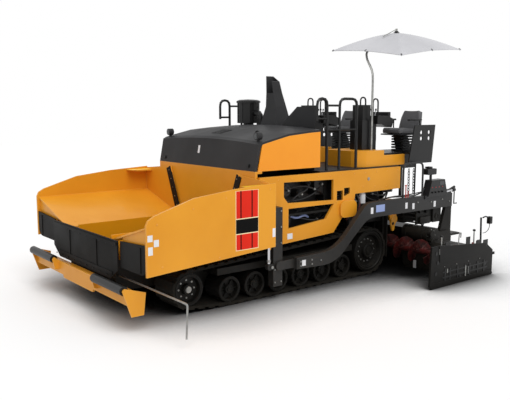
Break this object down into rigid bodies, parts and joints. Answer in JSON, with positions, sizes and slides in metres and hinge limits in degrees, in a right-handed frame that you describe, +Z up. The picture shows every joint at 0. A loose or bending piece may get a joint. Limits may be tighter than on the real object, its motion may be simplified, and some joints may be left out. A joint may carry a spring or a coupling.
{
  "type": "tracked asphalt paver",
  "caption": "Rubber-tracked asphalt paver with a folding hopper, rear operator stations under an umbrella, augers and a towed extending screed.",
  "frame": {"origin": "middle of the footprint, on the ground", "axes": "+X forwards towards the hopper, +Y to the left of the machine, +Z up"},
  "size_m": [6.45, 4.9, 3.8945],
  "materials": {
    "body_yellow": "semi-gloss paint",
    "hopper_yellow": "semi-gloss paint",
    "hood_yellow": "semi-gloss paint",
    "hood_grey": "satin paint",
    "arm_grey": "satin paint",
    "chassis_black": "satin paint",
    "track_rubber": "moulded",
    "wheel_black": "satin paint",
    "auger_red": "worn paint",
    "seat_grey": "padded vinyl",
    "rail_black": "satin paint",
    "canopy_cloth": "coated cloth",
    "steel": "plain"
  },
  "bodies": {
    "hood": {"hood_shell": "hood_grey", "hood_side_left": "hood_yellow", "hood_side_right": "hood_yellow"},
    "screed": {"screed": "chassis_black", "tow_arm_left": "arm_grey", "tow_arm_right": "arm_grey"},
    "wing_left": {"wing_left": "hopper_yellow", "apron_flap_left": "rail_black"},
    "push_roller_left": {"push_roller_left": "rail_black"},
    "auger_left": {"auger_left": "auger_red"},
    "extension_left": {"extension_left": "chassis_black", "end_gate_left": "arm_grey"},
    "wing_right": {"wing_right": "hopper_yellow", "apron_flap_right": "rail_black"},
    "push_roller_right": {"push_roller_right": "rail_black"},
    "auger_right": {"auger_right": "auger_red"},
    "extension_right": {"extension_right": "chassis_black", "end_gate_right": "arm_grey"},
    "tractor": {"main_frame": "chassis_black", "conveyor": "chassis_black", "engine_block": "chassis_black", "hopper_bulkhead": "body_yellow", "platform_deck": "chassis_black", "rear_cowl": "hood_grey", "exhaust_stack": "hood_grey", "pre_cleaner": "rail_black", "umbrella_canopy": "canopy_cloth", "umbrella_pole": "steel", "front_apron": "rail_black", "push_bar": "body_yellow", "guide_rod": "steel", "auger_mount": "body_yellow", "track_belt_left": "track_rubber", "track_frame_left": "chassis_black", "roller_set_left": "wheel_black", "idler_left": "wheel_black", "drive_wheel_left": "wheel_black", "side_panel_left": "body_yellow", "handrail_left": "rail_black", "station_left": "body_yellow", "seat_left": "seat_grey", "tow_guide_left": "arm_grey", "hopper_guard_left": "hopper_yellow", "console_left": "rail_black", "track_belt_right": "track_rubber", "track_frame_right": "chassis_black", "roller_set_right": "wheel_black", "idler_right": "wheel_black", "drive_wheel_right": "wheel_black", "side_panel_right": "body_yellow", "handrail_right": "rail_black", "station_right": "body_yellow", "seat_right": "seat_grey", "tow_guide_right": "arm_grey", "hopper_guard_right": "hopper_yellow", "console_right": "rail_black"}
  },
  "joints": [
    {"name": "wing_left_fold", "type": "hinge", "parent": "tractor", "child": "wing_left", "pos_m": [2, 0.8, 0.8], "axis": [1, 0, 0], "range_deg": [0, 50]},
    {"name": "wing_right_fold", "type": "hinge", "parent": "tractor", "child": "wing_right", "pos_m": [2, -0.8, 0.8], "axis": [-1, 0, 0], "range_deg": [0, 50]},
    {"name": "hood_open", "type": "hinge", "parent": "tractor", "child": "hood", "pos_m": [-0.14, 0, 2.3], "axis": [0, -1, 0], "range_deg": [0, 40]},
    {"name": "push_roller_left_spin", "type": "hinge", "parent": "tractor", "child": "push_roller_left", "pos_m": [3.169, 1.05, 0.525], "axis": [0, 1, 0], "continuous": true},
    {"name": "push_roller_right_spin", "type": "hinge", "parent": "tractor", "child": "push_roller_right", "pos_m": [3.169, -1.05, 0.525], "axis": [0, 1, 0], "continuous": true},
    {"name": "auger_left_spin", "type": "hinge", "parent": "tractor", "child": "auger_left", "pos_m": [-1.84, 1, 0.37], "axis": [0, 1, 0], "continuous": true},
    {"name": "auger_right_spin", "type": "hinge", "parent": "tractor", "child": "auger_right", "pos_m": [-1.84, -1, 0.37], "axis": [0, 1, 0], "continuous": true},
    {"name": "screed_lift", "type": "hinge", "parent": "tractor", "child": "screed", "pos_m": [0.82, 0, 0.47], "axis": [0, 1, 0], "range_deg": [0, 7]},
    {"name": "extension_left_slide", "type": "slide", "parent": "screed", "child": "extension_left", "axis": [0, 1, 0], "range_m": [-0.4, 0.15]},
    {"name": "extension_right_slide", "type": "slide", "parent": "screed", "child": "extension_right", "axis": [0, -1, 0], "range_m": [-0.4, 0.15]}
  ]
}
